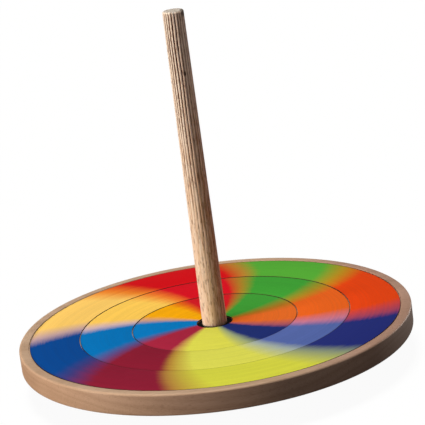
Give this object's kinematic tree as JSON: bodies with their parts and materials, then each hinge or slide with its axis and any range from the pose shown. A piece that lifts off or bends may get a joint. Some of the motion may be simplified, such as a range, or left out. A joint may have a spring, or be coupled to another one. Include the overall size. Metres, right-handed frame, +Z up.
{
  "type": "spinning top",
  "caption": "Large hand-twirled wooden top: a rimmed plate holding three nested printed colour discs that turn, on a tall tapered fluted stem with a domed tip.",
  "frame": {"origin": "point of the domed tip, where the upright top touches the table", "axes": "+Z up along the spin axis, from the tip towards the top of the stem; +X to the right in the front view"},
  "size_m": [0.2, 0.2, 0.186],
  "materials": {
    "plate_wood": "turned and sanded, thin clear wax",
    "hub_wood": "turned and sanded, thin clear wax",
    "stem_wood": "raw fluted dowel, open grain",
    "bush_rubber": "matt black",
    "tip_steel": "polished dome",
    "large_print": "printed card with a satin film, eight swirling colours",
    "medium_print": "printed card with a satin film, eight swirling colours",
    "small_print": "printed card with a satin film, eight swirling colours"
  },
  "bodies": {
    "top": {"plate": "plate_wood", "hub": "hub_wood", "stem": "stem_wood", "bush": "bush_rubber", "tip_pin": "tip_steel"},
    "large_disc": {"large_disc": "large_print"},
    "medium_disc": {"medium_disc": "medium_print"},
    "small_disc": {"small_disc": "small_print"}
  },
  "joints": [
    {"name": "large_disc_turn", "type": "hinge", "parent": "top", "child": "large_disc", "pos_m": [0, 0, 0.02465], "axis": [0, 0, 1], "continuous": true},
    {"name": "medium_disc_turn", "type": "hinge", "parent": "top", "child": "medium_disc", "pos_m": [0, 0, 0.0245], "axis": [0, 0, 1], "continuous": true},
    {"name": "small_disc_turn", "type": "hinge", "parent": "top", "child": "small_disc", "pos_m": [0, 0, 0.02435], "axis": [0, 0, 1], "continuous": true}
  ]
}
